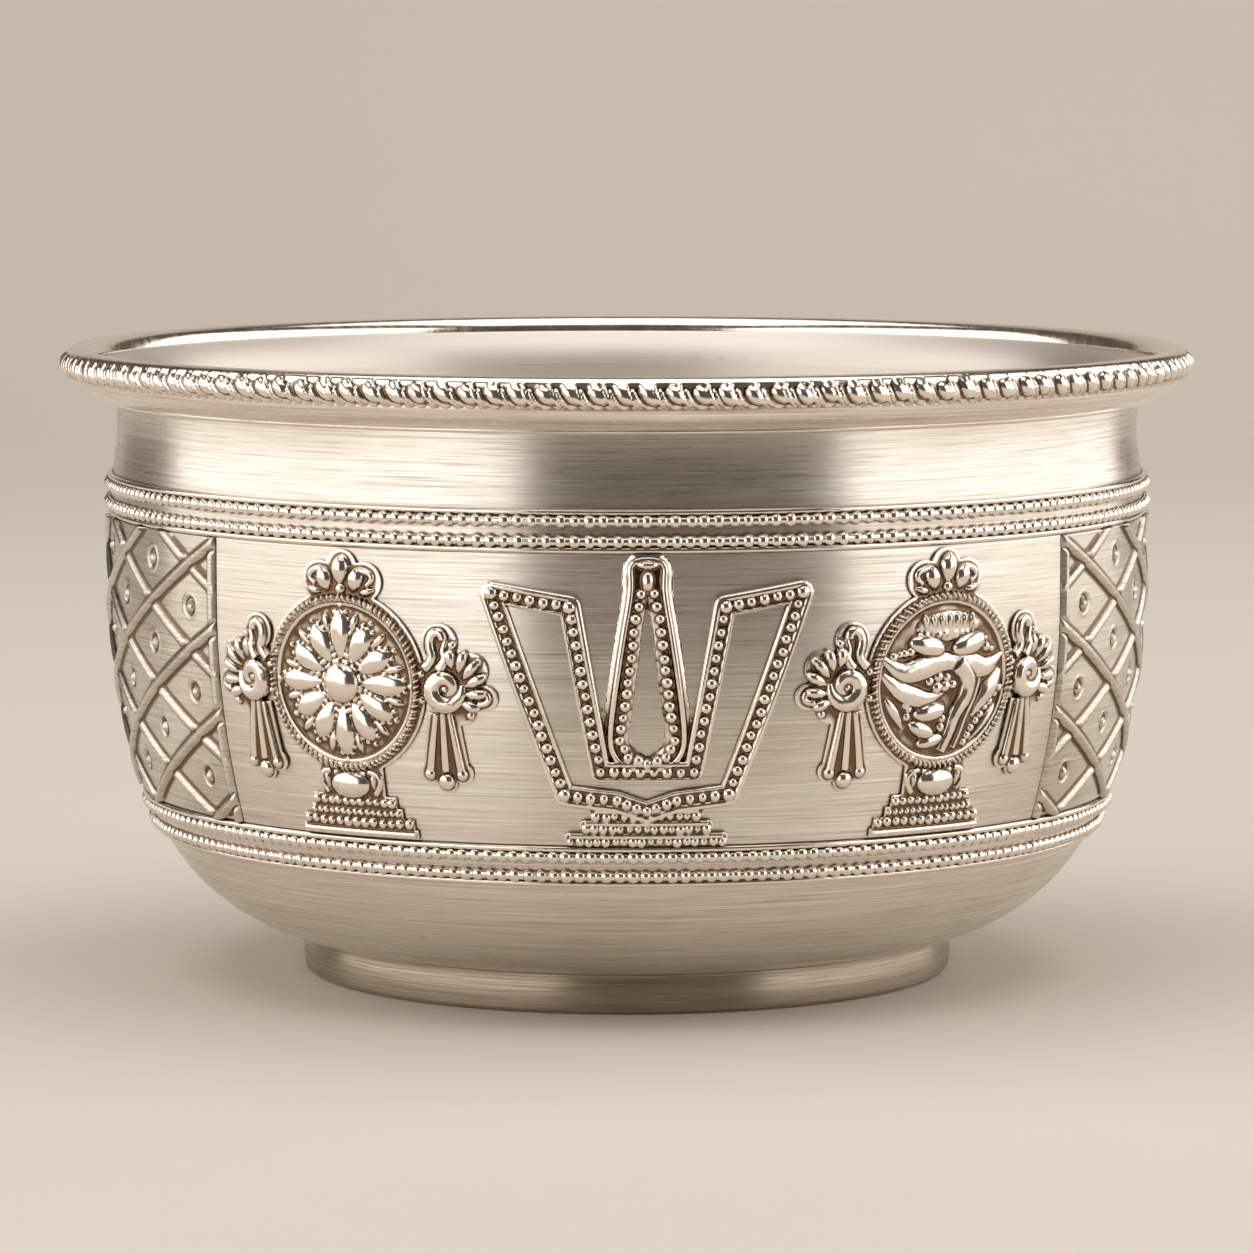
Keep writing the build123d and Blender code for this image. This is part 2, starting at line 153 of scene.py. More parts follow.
# Beaded wires
BEADS = 244
BEAD_SWELL = 1.14         # beads against the plain wire they are rolled from
BEAD_STRETCH = 1.06       # length of a bead along the wire for its height
BEAD_NECK = 0.42          # radius of the wire between two beads
BEAD_WOBBLE = 0.08        # unevenness of the beads
BEAD_EDGE = 0.28          # radius of the rounded edge beside each row
BEAD_EDGE_OFFSET = 0.73   # from the middle of the row to the middle of that edge
upper_low, upper_high = node_box("upper_bead_wire_top")
bead_radius = (upper_high.z - upper_low.z) / 2

# Lattice panels
LATTICE_COLUMNS = 8       # spaces between columns of crossings
LATTICE_EDGE = 4.0        # first column of crossings from the end of the panel
LATTICE_ROW = 3.72        # rise from one crossing to the next one along a rib
LATTICE_TOP = 2.5         # first crossing below the top of the panel
LATTICE_GRAIN = 0.13      # fineness of the struck surface
LATTICE_SHEET = 0.2       # thickness of the panel
BACK_STEPS = 6            # divisions of its back, from the top edge round to the lower one
RIB_HALF_WIDTH = 0.52
RIB_RISE = 0.44           # how far a rib stands above the ground
RIB_LAP = 0.08            # how far one set of ribs lies above the other
DIP_FROM = 0.3            # a lower rib dips towards the upper one, and is gone this far from its middle
DIP_RUN = 0.5             # length of the dip
BORDER_DIP = 0.4          # share of its rise that the rib at each end keeps there
STUD_RADIUS = 1.0         # hollow round each stud
STUD_HOLLOW = 0.3         # depth of that hollow
STUD_EDGE = 0.08          # height of the burr round it
STUD_EDGE_WIDTH = 0.15
STUD_PEARL = 0.55         # radius and rise of the pearl in it
STUD_PEARL_SINK = 0.2
STUD_PEARL_PLACE = (0.2, -0.05)
lattice_low, lattice_high = node_box("right_lattice_panel")
lattice_reach = face_radius * asin(lattice_high.y / lattice_high.x)


# Bench tools


def deselect():
    bpy.ops.object.select_all(action="DESELECT")


def placed():
    """Fixes the form just added in its place, in its mesh."""
    bpy.ops.object.transform_apply(location=True, rotation=True, scale=True)
    return bpy.context.object


def copied(form, move):
    """A copy of a form with its own mesh, moved by a matrix."""
    copy = form.copy()
    copy.data = form.data.copy()
    copy.data.transform(move)
    bpy.context.scene.collection.objects.link(copy)
    return copy


def joined(forms, name):
    """Several forms as one object."""
    deselect()
    for form in forms:
        form.select_set(True)
    bpy.context.view_layer.objects.active = forms[0]
    bpy.ops.object.join()
    piece = bpy.context.object
    piece.name = name
    piece.data.name = name
    return piece


def points_of(mesh):
    flat = np.empty(len(mesh.vertices) * 3)
    mesh.vertices.foreach_get("co", flat)
    return flat.reshape(-1, 3)


def move_points(mesh, points):
    mesh.vertices.foreach_set("co", points.ravel())
    mesh.update()


def dome(x, y, half_width, half_length, rise, turn=0.0):
    """A rounded boss on the sheet, its length upright and then turned anticlockwise."""
    deselect()
    bpy.ops.mesh.primitive_uv_sphere_add(
        segments=24, ring_count=12, location=(x, y, SHEET), rotation=(0, 0, turn),
        scale=(half_width, half_length, rise),
    )
    return placed()


def leaf(root, tip, half_width, rise, root_share=0.5, point=0.25):
    """A domed leaf, pointed at both ends and narrower towards its root."""
    run = Vector(tip) - Vector(root)
    middle = (Vector(tip) + Vector(root)) / 2
    deselect()
    bpy.ops.mesh.primitive_uv_sphere_add(segments=24, ring_count=18, rotation=(pi / 2, 0, 0))
    form = placed()
    for vertex in form.data.vertices:
        along = vertex.co.y
        fullness = (1 + (1 - root_share) * (along - 1) / 2) * max(0, 1 - along ** 2) ** point
        vertex.co.x *= half_width * fullness
        vertex.co.y *= run.length / 2
        vertex.co.z *= rise * fullness
    turn = Matrix.Rotation(-atan2(run.x, run.y), 4, "Z")
    form.data.transform(Matrix.Translation((middle.x, middle.y, SHEET)) @ turn)
    return form


def thickness(share, root, tip, full):
    """Thickness at a share of a cord's length, even from root to tip or rising to 1 at a share between."""
    if full is None:
        return root + (tip - root) * share
    if share < full:
        return root + (1 - root) * sin(pi / 2 * share / full)
    return tip + (1 - tip) * cos(pi / 2 * (share - full) / (1 - full))


def cord(points, radius, root=1.0, tip=1.0, full=None, rise=1.0, closed=False, lift=SHEET, straight=False):
    """A wire along a line of points; rise is its height for its width."""
    curve = bpy.data.curves.new("cord", "CURVE")
    curve.dimensions = "3D"
    curve.bevel_depth = radius
    curve.bevel_resolution = 3
    curve.resolution_u = 6
    curve.use_fill_caps = True
    line = curve.splines.new("POLY" if straight else "NURBS")
    line.points.add(len(points) - 1)
    for number, ((x, y), point) in enumerate(zip(points, line.points)):
        point.co = (x, y, 0, 1)
        point.radius = thickness(number / (len(points) - 1), root, tip, full)
    line.use_cyclic_u = closed
    line.use_endpoint_u = not closed
    line.order_u = 3
    form = bpy.data.objects.new("cord", curve)
    bpy.context.scene.collection.objects.link(form)
    deselect()
    form.select_set(True)
    bpy.context.view_layer.objects.active = form
    bpy.ops.object.convert(target="MESH")
    form = bpy.context.object
    form.data.transform(Matrix.Translation((0, 0, lift)) @ Matrix.Diagonal((1, 1, rise, 1)))
    return form


def ribbon(points, radius):
    """A broad, low band with a thin root and tip."""
    return cord(points, radius, root=0.3, tip=0.15, full=0.45, rise=0.7)


def curl(x, y, radius, thick, thin, side, start, turns):
    """A band that coils in towards a pearl; side 1 turns anticlockwise and -1 clockwise."""
    steps = 18
    points = []
    for step in range(steps + 1):
        share = step / steps
        reach = radius * (1 - 0.7 * share)
        angle = start + side * share * turns * tau
        points.append((x + reach * cos(angle), y + reach * sin(angle)))
    return [cord(points, thick, root=0.3, tip=thin / thick, full=0.28)] + pearls([(x, y)], radius * 0.27)


def hoop(radius, wire):
    deselect()
    bpy.ops.mesh.primitive_torus_add(
        location=(0, 0, SHEET), major_radius=radius, minor_radius=wire, major_segments=96, minor_segments=12
    )
    return placed()


def disc(x, y, radius):
    """Flat sheet cut to a round lobe."""
    deselect()
    bpy.ops.mesh.primitive_cylinder_add(vertices=48, radius=radius, depth=SHEET, location=(x, y, SHEET / 2))
    return placed()


def bar(x, y, half_width, half_height, turn=0.0):
    """Flat sheet cut to a rectangle."""
    deselect()
    bpy.ops.mesh.primitive_cube_add(
        size=2, location=(x, y, SHEET / 2), rotation=(0, 0, turn), scale=(half_width, half_height, SHEET / 2)
    )
    return placed()


def pearls(places, radius, rise=0.9, wobble=0.0):
    """Copies of one round bead on the sheet, each a little out of place and size by the wobble."""
    deselect()
    bpy.ops.mesh.primitive_ico_sphere_add(subdivisions=3, radius=radius, scale=(1, 1, rise))
    first = placed()
    beads = []
    for x, y in places:
        size = 1 + wobble * chance.uniform(-1, 1)
        shift = Vector((chance.uniform(-1, 1), chance.uniform(-1, 1))) * wobble * radius
        place = Matrix.Translation((x + shift.x, y + shift.y, SHEET))
        beads.append(copied(first, place @ Matrix.Scale(size, 4)))
    bpy.data.objects.remove(first)
    return beads


def spaced(start, end, pitch):
    """Places evenly spaced from start to end, about a pitch apart."""
    start, end = Vector(start), Vector(end)
    gaps = max(1, round((end - start).length / pitch))
    return [tuple(start.lerp(end, number / gaps)) for number in range(gaps + 1)]


def spaced_along(points, pitch):
    """Places evenly spaced along each side of a line of points, with one at each corner."""
    places = []
    for start, end in zip(points, points[1:]):
        places += spaced(start, end, pitch)[:-1]
    return places + [points[-1]]


def mirrored(points, side):
    return [(side * x, y) for x, y in points]


def mark_hollows(mesh, passes=10):
    """Keeps with each point how far it lies below the surface round it, in millimetres."""
    count = len(mesh.vertices)
    ends = np.empty(2 * len(mesh.edges), dtype=np.int32)
    mesh.edges.foreach_get("vertices", ends)
    first, second = ends.reshape(-1, 2).T
    normals = np.empty(3 * count)
    mesh.vertex_normals.foreach_get("vector", normals)
    links = np.bincount(first, minlength=count) + np.bincount(second, minlength=count)
    points = points_of(mesh)
    soft = points.copy()
    for _ in range(passes):
        soft = np.stack([
            np.bincount(first, column[second], count) + np.bincount(second, column[first], count)
            for column in soft.T
        ], axis=1) / links[:, None]
    depth = ((soft - points) * normals.reshape(-1, 3)).sum(axis=1)
    mesh.attributes.new("hollow", "FLOAT", "POINT").data.foreach_set("value", depth)


def soften(piece, passes):
    """Rounds off the corners of a worked surface."""
    rounding = piece.modifiers.new("soften", "SMOOTH")
    rounding.factor = 0.5
    rounding.iterations = passes
    bpy.ops.object.modifier_apply(modifier=rounding.name)
    bpy.ops.object.shade_smooth()


def struck(forms, name):
    """Forms struck in one sheet: melted into one skin with a flat back, and softened."""
    piece = joined(forms, name)
    points = points_of(piece.data)
    points[:, 2] = np.clip(points[:, 2], 0, None)
    move_points(piece.data, points)
    piece.data.remesh_voxel_size = RELIEF_GRAIN
    piece.data.remesh_voxel_adaptivity = FLAT_SAVING
    bpy.ops.object.voxel_remesh()
    soften(piece, 2)
    mark_hollows(piece.data)
    return piece


def lay_on_wall(piece, azimuth, base_height, lift=SOLDER):
    """Bends a piece from the bench round the bowl, with its middle at an azimuth from the front."""
    along, up, out = points_of(piece.data).T
    height = base_height + up
    lean = np.arcsin(np.clip(WIDEST_HEIGHT - height, 0, None) / BELLY_CURVE)
    distance = face_center + (BELLY_CURVE + lift + out) * np.cos(lean)
    height = height - (lift + out) * np.sin(lean)
    turn = azimuth + along / face_radius
    bent = np.stack((distance * np.sin(turn), -distance * np.cos(turn), height), axis=1)
    move_points(piece.data, bent * MM)
    return piece


def half_turned(piece, name):
    """The same piece on the far side of the bowl, with its own mesh."""
    copy = copied(piece, Matrix.Rotation(pi, 4, "Z"))
    copy.name = name
    copy.data.name = name
    return copy


def coat(form, material):
    form.data.materials.clear()
    form.data.materials.append(material)


def fit(piece, node):
    """Puts a finished piece in the place of a solid."""
    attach(piece, "root")
    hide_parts(node)


# Finishes

PLAIN_SILVER = (0.8, 0.735, 0.655)  # one colour that stands for the whole finish
DULL_SILVER = (0.775, 0.7, 0.615)
CLEAR_SILVER = (0.835, 0.77, 0.695)
STREAK = (0.4, 0.34, 0.28)
GLEAM = (0.97, 0.935, 0.885)
INSIDE_SILVER = (0.89, 0.83, 0.76)
PLAIN_RELIEF = (0.88, 0.8, 0.71)
DULL_RELIEF = (0.84, 0.755, 0.66)
CLEAR_RELIEF = (0.9, 0.83, 0.745)
# Painted shade and tarnish, darkening the hollows
BAND_SHADE_AND_TARNISH = (0.2, 0.13, 0.085)
RELIEF_SHADE_AND_TARNISH = (0.17, 0.105, 0.06)
LATTICE_SHADE = (0.86, 0.85, 0.84)
# Painted shade: the foot ring is darker and browner, standing for the shadow under the belly and the darker
# floor it mirrors
FOOT_PAINTED_SHADE = (0.54, 0.49, 0.43)


def new_finish(name, color, roughness, metallic=1):
    material = bpy.data.materials.new(name)
    material.use_nodes = True
    tree = material.node_tree
    shader = tree.nodes["Principled BSDF"]
    shader.inputs["Metallic"].default_value = metallic
    shader.inputs["Base Color"].default_value = (*color, 1)
    shader.inputs["Roughness"].default_value = roughness
    return material, tree, shader


def mapped(tree, value, low, high, to_low, to_high):
    node = tree.nodes.new("ShaderNodeMapRange")
    tree.links.new(value, node.inputs["Value"])
    for name, number in (("From Min", low), ("From Max", high), ("To Min", to_low), ("To Max", to_high)):
        node.inputs[name].default_value = number
    return node.outputs["Result"]


def larger(tree, first, second):
    node = tree.nodes.new("ShaderNodeMath")
    node.operation = "MAXIMUM"
    tree.links.new(first, node.inputs[0])
    tree.links.new(second, node.inputs[1])
    return node.outputs[0]


def blended(tree, factor, first, second):
    """A colour between two, each given as numbers or as the result of another blend."""
    node = tree.nodes.new("ShaderNodeMix")
    node.data_type = "RGBA"
    tree.links.new(factor, node.inputs["Factor"])
    for name, color in (("A", first), ("B", second)):
        socket = [entry for entry in node.inputs if entry.name == name and entry.type == "RGBA"][0]
        if isinstance(color, tuple):
            socket.default_value = (*color, 1)
        else:
            tree.links.new(color, socket)
    return [entry for entry in node.outputs if entry.type == "RGBA"][0]


def grain(tree, level_size, upright_size, detail=2.0):
    """Noise with a size in millimetres along the table and another one upright."""
    place = tree.nodes.new("ShaderNodeTexCoord").outputs["Object"]
    stretch = tree.nodes.new("ShaderNodeMapping")
    stretch.inputs["Scale"].default_value = (1 / level_size / MM, 1 / level_size / MM, 1 / upright_size / MM)
    tree.links.new(place, stretch.inputs["Vector"])
    node = tree.nodes.new("ShaderNodeTexNoise")
    node.inputs["Scale"].default_value = 1
    node.inputs["Detail"].default_value = detail
    tree.links.new(stretch.outputs[0], node.inputs["Vector"])
    return node.outputs["Fac"]


def bumped(tree, shader, *layers):
    """Small unevenness of the surface; each layer is a height and its depth in millimetres."""
    before = None
    for height, depth in layers:
        bump = tree.nodes.new("ShaderNodeBump")
        bump.inputs["Strength"].default_value = 1
        bump.inputs["Distance"].default_value = depth * MM
        tree.links.new(height, bump.inputs["Height"])
        if before:
            tree.links.new(before, bump.inputs["Normal"])
        before = bump.outputs[0]
    tree.links.new(before, shader.inputs["Normal"])


def shade_of_hollows(tree, reach):
    """How deep a point lies among the forms round it within a reach in millimetres, from 0 to 1."""
    node = tree.nodes.new("ShaderNodeAmbientOcclusion")
    node.samples = 6
    node.inputs["Distance"].default_value = reach * MM
    return mapped(tree, node.outputs["AO"], 0.8, 0.35, 0, 1)


def facing_mouth(tree):
    """1 on the inside of the bowl, which faces a point above its mouth, and 0 on its outside."""
    place = tree.nodes.new("ShaderNodeTexCoord")
    to_mouth = tree.nodes.new("ShaderNodeVectorMath")
    to_mouth.operation = "SUBTRACT"
    to_mouth.inputs[0].default_value = (0, 0, 1.2 * cad_box[1].z)
    tree.links.new(place.outputs["Object"], to_mouth.inputs[1])
    facing = tree.nodes.new("ShaderNodeVectorMath")
    facing.operation = "DOT_PRODUCT"
    tree.links.new(to_mouth.outputs[0], facing.inputs[0])
    tree.links.new(place.outputs["Normal"], facing.inputs[1])
    return mapped(tree, facing.outputs["Value"], -2 * MM, 2 * MM, 0, 1)


def sunk_places(tree):
    """How deep a point lies below the surface round it, from 0 to 1, as kept with the mesh."""
    depth = tree.nodes.new("ShaderNodeAttribute")
    depth.attribute_name = "hollow"
    return mapped(tree, depth.outputs["Fac"], 0.008, 0.045, 0, 1)


def brushed_silver(
    name, low_roughness, high_roughness, hollows=False, white_inside=False, brushing=0.8, shade=(1, 1, 1)
):
    """Satin silver, brushed round the bowl, with streaks, long bright scratches and a faint warm bloom."""
    material, tree, shader = new_finish(name, PLAIN_SILVER, high_roughness)
    fine = grain(tree, 5.0, 0.1)
    long = grain(tree, 16.0, 0.13)
    scratch = grain(tree, 40.0, 0.17, 1)
    bloom = grain(tree, 14.0, 6.0)
    wave = grain(tree, 9.0, 5.0, 0)
    dull, clear, streak, gleam = [
        tuple(level * dim for level, dim in zip(color, shade))
        for color in (DULL_SILVER, CLEAR_SILVER, STREAK, GLEAM)
    ]
    tone = blended(tree, mapped(tree, bloom, 0.3, 0.7, 0, 1), dull, clear)
    tone = blended(tree, mapped(tree, fine, 0.5, 0.75, 0, 0.4), tone, streak)
    tone = blended(tree, mapped(tree, long, 0.55, 0.73, 0, 0.55), tone, streak)
    tone = blended(tree, mapped(tree, long, 0.44, 0.3, 0, 0.6), tone, gleam)
    tone = blended(tree, mapped(tree, scratch, 0.6, 0.7, 0, 0.75), tone, gleam)
    roughness = mapped(tree, fine, 0.3, 0.7, low_roughness, high_roughness)
    # painted shade and tarnish: darker in the hollows and near the raised forms, by their depth and by
    # ambient occlusion
    if hollows:
        dark = larger(tree, sunk_places(tree), shade_of_hollows(tree, 1.0))
        tone = blended(tree, dark, tone, BAND_SHADE_AND_TARNISH)
    if white_inside:
        inside = facing_mouth(tree)
        tone = blended(tree, inside, tone, INSIDE_SILVER)
        roughness = larger(tree, roughness, mapped(tree, inside, 0, 1, 0, 0.5))
    tree.links.new(tone, shader.inputs["Base Color"])
    tree.links.new(roughness, shader.inputs["Roughness"])
    bumped(tree, shader, (wave, 0.05), (fine, 0.008), (long, 0.012))
    shader.inputs["Anisotropic"].default_value = brushing
    shader.inputs["Anisotropic Rotation"].default_value = 0.25
    tangent = tree.nodes.new("ShaderNodeTangent")
    tangent.direction_type = "RADIAL"
    tangent.axis = "Z"
    tree.links.new(tangent.outputs[0], shader.inputs["Tangent"])
    return material


def relief_silver():
    """Polished relief with painted shade and tarnish in the hollows."""
    material, tree, shader = new_finish("polished_relief", PLAIN_RELIEF, 0.16)
    mottle = grain(tree, 0.9, 0.9)
    # painted shade and tarnish: darker in the hollows, by their depth and by ambient occlusion
    dark = larger(tree, sunk_places(tree), shade_of_hollows(tree, 0.8))
    worn = blended(tree, mapped(tree, mottle, 0.3, 0.7, 0, 1), DULL_RELIEF, CLEAR_RELIEF)
    tree.links.new(blended(tree, dark, worn, RELIEF_SHADE_AND_TARNISH), shader.inputs["Base Color"])
    tree.links.new(mapped(tree, mottle, 0.3, 0.7, 0.12, 0.22), shader.inputs["Roughness"])
    bumped(tree, shader, (mottle, 0.01))
    return material


brushed = brushed_silver("brushed_silver", 0.26, 0.42)
shell_silver = brushed_silver("shell_silver", 0.26, 0.42, white_inside=True)
band_silver = brushed_silver("band_silver", 0.24, 0.36, hollows=True)
lattice_silver = brushed_silver("lattice_silver", 0.24, 0.36, hollows=True, shade=LATTICE_SHADE)
# the foot ring's silver is darkened as painted shade
foot_silver_painted_shade = brushed_silver("foot_silver_painted_shade", 0.3, 0.45, shade=FOOT_PAINTED_SHADE)
moulding_silver = brushed_silver("moulding_silver", 0.22, 0.32, brushing=0.3)
polished = relief_silver()
carried = {
    "bowl_shell": shell_silver, "foot_ring": foot_silver_painted_shade, "front_panel": brushed, "back_panel": brushed,
    "upper_band_strip": band_silver, "lower_band_strip": band_silver,
}
for node, material in carried.items():
    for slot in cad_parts[node].material_slots:
        slot.material = material


# Rim wire and the moulding under it


def turned_grid(name, steps, section_steps):
    """A sheet to be wrapped round the axis: its azimuths, and shares from -1 to 1 round its section."""
    deselect()
    bpy.ops.mesh.primitive_grid_add(x_subdivisions=steps, y_subdivisions=section_steps, size=2)
    sheet = bpy.context.object
    sheet.name = name
    sheet.data.name = name
    along, share, _ = points_of(sheet.data).T
    return along * pi, share


def closed_skin(x, y, z):
    """Moves the points of the sheet in hand, joins its seams and closes its ends."""
    sheet = bpy.context.object
    move_points(sheet.data, np.stack((x, y, z), axis=1))
    bpy.ops.object.mode_set(mode="EDIT")
    bpy.ops.mesh.select_all(action="SELECT")
    bpy.ops.mesh.remove_doubles(threshold=0.001)
    bpy.ops.mesh.fill_holes(sides=0)
    bpy.ops.mesh.select_all(action="SELECT")
    bpy.ops.mesh.normals_make_consistent(inside=False)
    bpy.ops.object.mode_set(mode="OBJECT")
    bpy.ops.object.shade_smooth()
    return sheet


def plain_ring(distance, height, radius, steps=256):
    """A round wire bent into a ring round the axis."""
    deselect()
    bpy.ops.mesh.primitive_torus_add(
        location=(0, 0, height), major_radius=distance, minor_radius=radius,
        major_segments=steps, minor_segments=12,
    )
    bpy.ops.object.shade_smooth()
    return placed()


def boss(form, across, upright, taller=0, higher=0):
    """Height of a round boss on the rim wire, 0 outside its edge."""
    rise, half_width, half_height, middle = form
    inside = 1 - (across / half_width) ** 2 - ((upright - middle) / (half_height + taller)) ** 2
    return (rise + higher) * np.sqrt(np.clip(inside, 0, None))


def rim_wire():
    """A thick wire worked into leaning eggs with two bowed ribs between them, over a hem of small tips."""
    azimuth, share = turned_grid("worked_rim", RIM_LOBES * LOBE_STEPS, SECTION_STEPS)
    around = share * pi * (0.5 + 0.5 * share ** 2)
    upright = around * wire_radius
    lobes = azimuth / tau * RIM_LOBES + LOBE_LEAN * upright / lobe_pitch
    hand = np.array([[chance.uniform(-1, 1) for _ in range(6)] for _ in range(RIM_LOBES)])
    uneven = hand[np.floor(lobes).astype(int) % RIM_LOBES].T
    uneven_rib = hand[np.floor(lobes + 0.5).astype(int) % RIM_LOBES].T
    across = (lobes - np.floor(lobes) - 0.5) * lobe_pitch
    bow = RIB_BOW * (1 + RIB_BOW_WOBBLE * uneven_rib[4]) * (1 - (upright / RIB_BOW_HEIGHT) ** 2)
    past_middle = (lobes + 0.5 - np.floor(lobes + 0.5) - 0.5) * lobe_pitch
    past_ribs = past_middle + bow + RIB_WOBBLE * uneven_rib[5]
    along, round_wire, taller, higher = [size * part for size, part in zip(EGG_WOBBLE, uneven)]
    relief = np.max((
        boss(EGG, across - along, upright - round_wire, taller, higher),
        boss(RIM_RIB, past_ribs - RIM_RIB_PLACE, upright),
        boss(THIN_RIB, past_ribs - THIN_RIB_PLACE, upright),
        boss(TIP, np.abs(across) - lobe_pitch / 4, upright),
    ), axis=0)
    below_end = 1 / (1 + np.exp((upright - WORKED_TO) * WORKED_EDGE))
    above_start = 1 / (1 + np.exp((WORKED_FROM - upright) * WORKED_EDGE))
    section = wire_radius + (relief - GROUND_CUT) * below_end * above_start
    distance = rim_radius + section * np.cos(around)
    height = rim_height + section * np.sin(around)
    wire = closed_skin(distance * np.cos(azimuth), distance * np.sin(azimuth), height)
    soften(wire, 2)
    mark_hollows(wire.data, 6)
    wire.data.transform(Matrix.Scale(MM, 4))
    return wire


def lip_moulding():
    """A rounded band under the rim wire, with a fine wire at its foot."""
    azimuth, share = turned_grid("rounded_moulding", MOULDING_STEPS, MOULDING_SECTION_STEPS)
    angle = MOULDING_START + (MOULDING_END - MOULDING_START) * (1 - np.cos(share * pi)) / 2
    inner_side = np.abs(share + 0.5) < 0.49
    thin = MOULDING_SHEET * inner_side
    distance = moulding_foot + (moulding_reach - thin) * np.cos(angle)
    height = moulding_top - (moulding_drop - thin) * np.sin(angle)
    band = closed_skin(distance * np.cos(azimuth), distance * np.sin(azimuth), height)
    foot = plain_ring(moulding_foot - FOOT_WIRE, moulding_top - moulding_drop - FOOT_WIRE / 2, FOOT_WIRE)
    piece = joined([band, foot], "rounded_moulding")
    piece.data.transform(Matrix.Scale(MM, 4))
    return piece


worked_rim = rim_wire()
coat(worked_rim, polished)
fit(worked_rim, "rim_wire")
moulding = lip_moulding()
coat(moulding, moulding_silver)
fit(moulding, "lip_moulding")


# Beaded wires


def bead_wire(node):
    """A wire of round beads, slightly uneven, with a rounded edge on the far side from the other row."""
    low, high = node_box(node)
    distance = high.x - bead_radius
    height = low.z + bead_radius
    lean = asin(max(0, WIDEST_HEIGHT - height) / BELLY_CURVE)
    to_edge = BEAD_EDGE_OFFSET if node.endswith("top") else -BEAD_EDGE_OFFSET
    deselect()
    bpy.ops.mesh.primitive_uv_sphere_add(segments=10, ring_count=7, radius=bead_radius * BEAD_SWELL)
    bead = bpy.context.object
    forms = []
    for number in range(BEADS):
        uneven = [1 + chance.uniform(-BEAD_WOBBLE, BEAD_WOBBLE) for _ in range(3)]
        size = Matrix.Diagonal((uneven[0], BEAD_STRETCH * uneven[1], uneven[2], 1))
        turn = Matrix.Rotation((number + chance.uniform(-BEAD_WOBBLE, BEAD_WOBBLE)) / BEADS * tau, 4, "Z")
        forms.append(copied(bead, turn @ Matrix.Translation((distance, 0, height)) @ size))
    bpy.data.objects.remove(bead)
    forms.append(plain_ring(distance, height, BEAD_NECK, BEADS))
    forms.append(plain_ring(distance + to_edge * sin(lean), height + to_edge * cos(lean), BEAD_EDGE))
    wire = joined(forms, node.replace("bead_wire", "beads"))
    bpy.ops.object.shade_smooth()
    wire.data.transform(Matrix.Scale(MM, 4))
    return wire


for band in ("upper", "lower"):
    for row in ("top", "bottom"):
        node = f"{band}_bead_wire_{row}"
        beads = bead_wire(node)
        coat(beads, polished)
        fit(beads, node)


# Lattice panels


def half_round(distance, half_width):
    """Height of a rounded rib of height 1 at a distance from its middle line."""
    return np.clip(1 - (distance / half_width) ** 2, 0, None) ** 0.7


def lattice_panel(name, over):
    """Sheet struck with crossing ribs and a stud in each diamond.

    over is 1 where the ribs that rise to the right lie on top, and -1 where the others do.
    """
    foot, top = lattice_low.z, lattice_high.z
    columns = round(2 * lattice_reach / LATTICE_GRAIN)
    rows = round((top - foot) / LATTICE_GRAIN)
    deselect()
    bpy.ops.mesh.primitive_grid_add(x_subdivisions=columns, y_subdivisions=rows + BACK_STEPS, size=2)
    across, up, _ = points_of(bpy.context.object.data).T
    x = across * lattice_reach
    step = np.rint((up + 1) / 2 * (rows + BACK_STEPS)) % (rows + BACK_STEPS)
    front = step <= rows
    y = foot + (top - foot) * np.where(front, step / rows, 1 - (step - rows - 1) / (BACK_STEPS - 2))
    column_step = 2 * (lattice_reach - LATTICE_EDGE) / LATTICE_COLUMNS
    rib_gap = LATTICE_ROW * column_step / hypot(LATTICE_ROW, column_step)
    column = (x + lattice_reach - LATTICE_EDGE) / column_step
    row = (y - top + LATTICE_TOP) / LATTICE_ROW
    to_upper, to_lower = [
        rib_gap * np.abs((row - slope * column + 1) % 2 - 1) for slope in (over, -over)
    ]
    to_end = np.abs(lattice_reach - RIB_HALF_WIDTH - np.abs(x))
    upper = (RIB_RISE + RIB_LAP) * half_round(to_upper, RIB_HALF_WIDTH)
    dip = (to_upper - DIP_FROM) / DIP_RUN
    lower = RIB_RISE * half_round(to_lower, RIB_HALF_WIDTH) * np.clip(dip, 0, 1)
    border = RIB_RISE * half_round(to_end, RIB_HALF_WIDTH) * np.clip(dip, BORDER_DIP, 1)
    rounded_end = np.clip((lattice_reach - np.abs(x)) / RIB_HALF_WIDTH, 0, 1) ** 0.5
    height = np.maximum(np.maximum(upper, lower), border) * rounded_end
    for stud_x, stud_y in stud_places(column_step):
        height = height + stud(over * (x - stud_x), y - stud_y)
    panel = closed_skin(x, y, np.where(front, height, -LATTICE_SHEET))
    mark_hollows(panel.data, 7)
    panel.name = name
    panel.data.name = name
    return panel


def stud_places(column_step):
    """Middles of the diamonds that have room for a stud, from the left column to the right one."""
    foot, top = lattice_low.z, lattice_high.z
    rows_down = round((top - foot) / LATTICE_ROW)
    for column in range(LATTICE_COLUMNS + 1):
        for row in range(-rows_down, 1):
            y = top - LATTICE_TOP + row * LATTICE_ROW
            if (row + column) % 2 == 1 and foot + STUD_RADIUS < y < top - STUD_RADIUS:
                yield LATTICE_EDGE - lattice_reach + column * column_step, y


